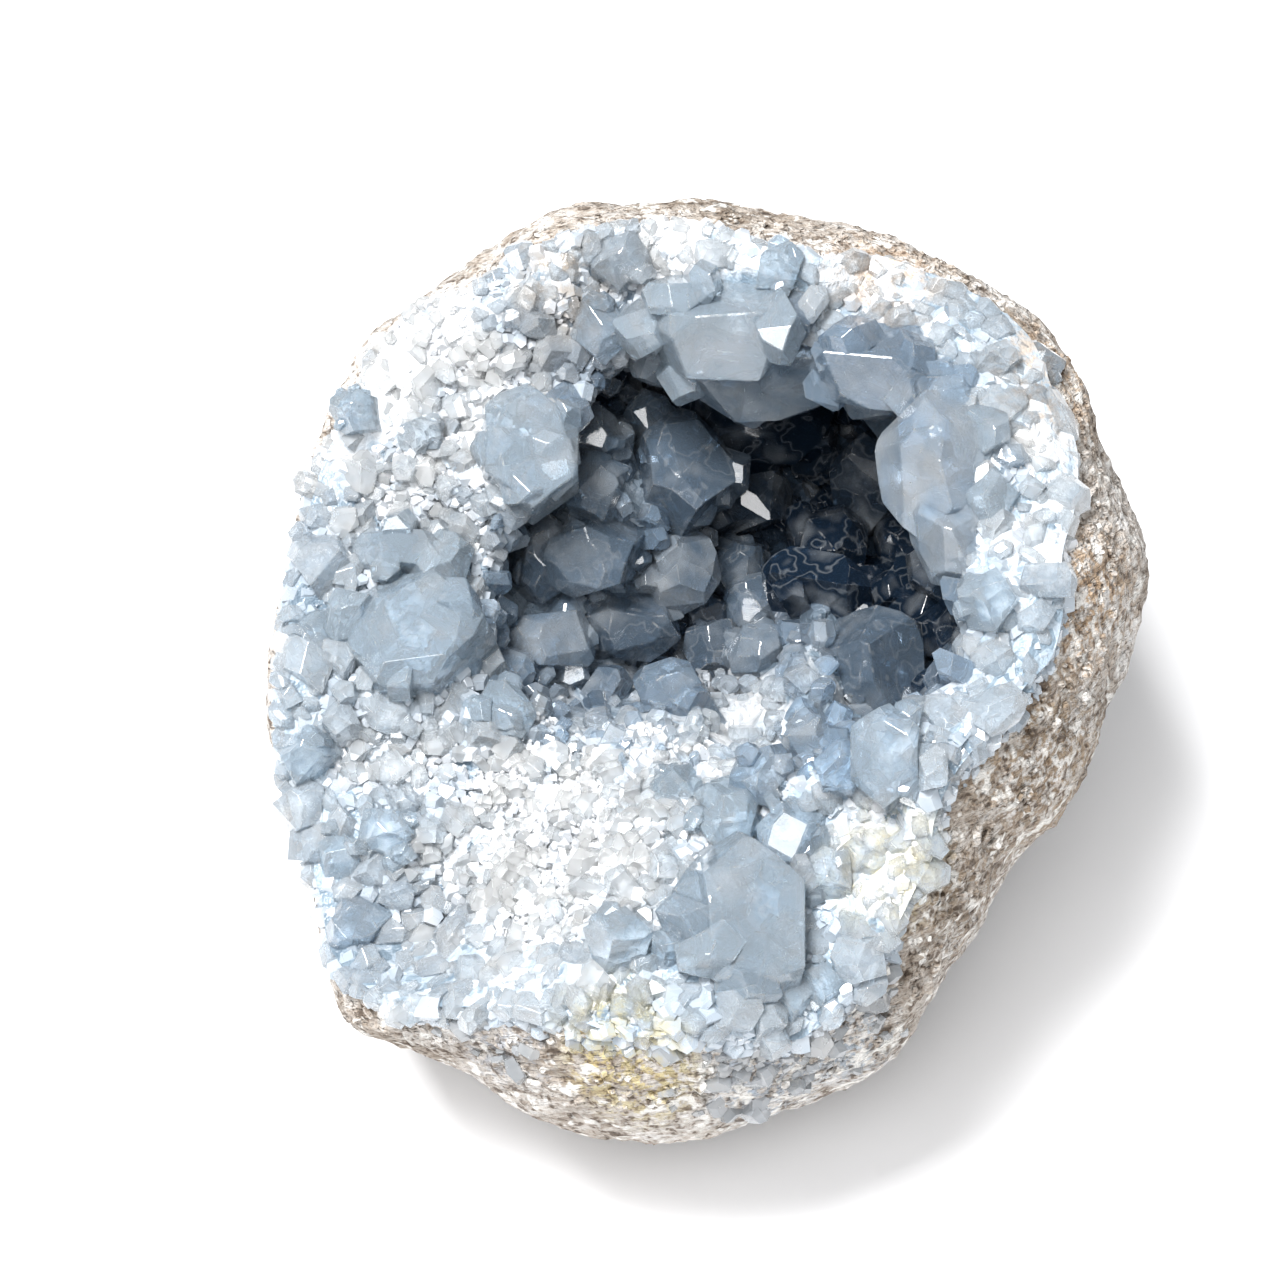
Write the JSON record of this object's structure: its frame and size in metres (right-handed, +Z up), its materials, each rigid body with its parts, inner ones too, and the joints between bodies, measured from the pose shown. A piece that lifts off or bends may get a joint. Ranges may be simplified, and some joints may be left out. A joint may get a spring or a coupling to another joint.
{
  "type": "celestite geode",
  "caption": "Egg-shaped stone nodule broken open across a slanted face, with a deep off-centre hollow lined by a crust of pale blue faceted crystals.",
  "frame": {"origin": "the middle of the geode's box, on the plane of the flat spot that it rests on", "axes": "+Z up, -Y towards the side that the open face leans to, +X to that viewer's right"},
  "size_m": [0.0972, 0.1094, 0.0801],
  "materials": {
    "weathered_stone": "rough, chalky, weathered",
    "celestite": "vitreous, clear to milky pale blue"
  },
  "bodies": {
    "root": {"rind": "weathered_stone", "crystal_crust": "celestite"}
  },
  "joints": []
}
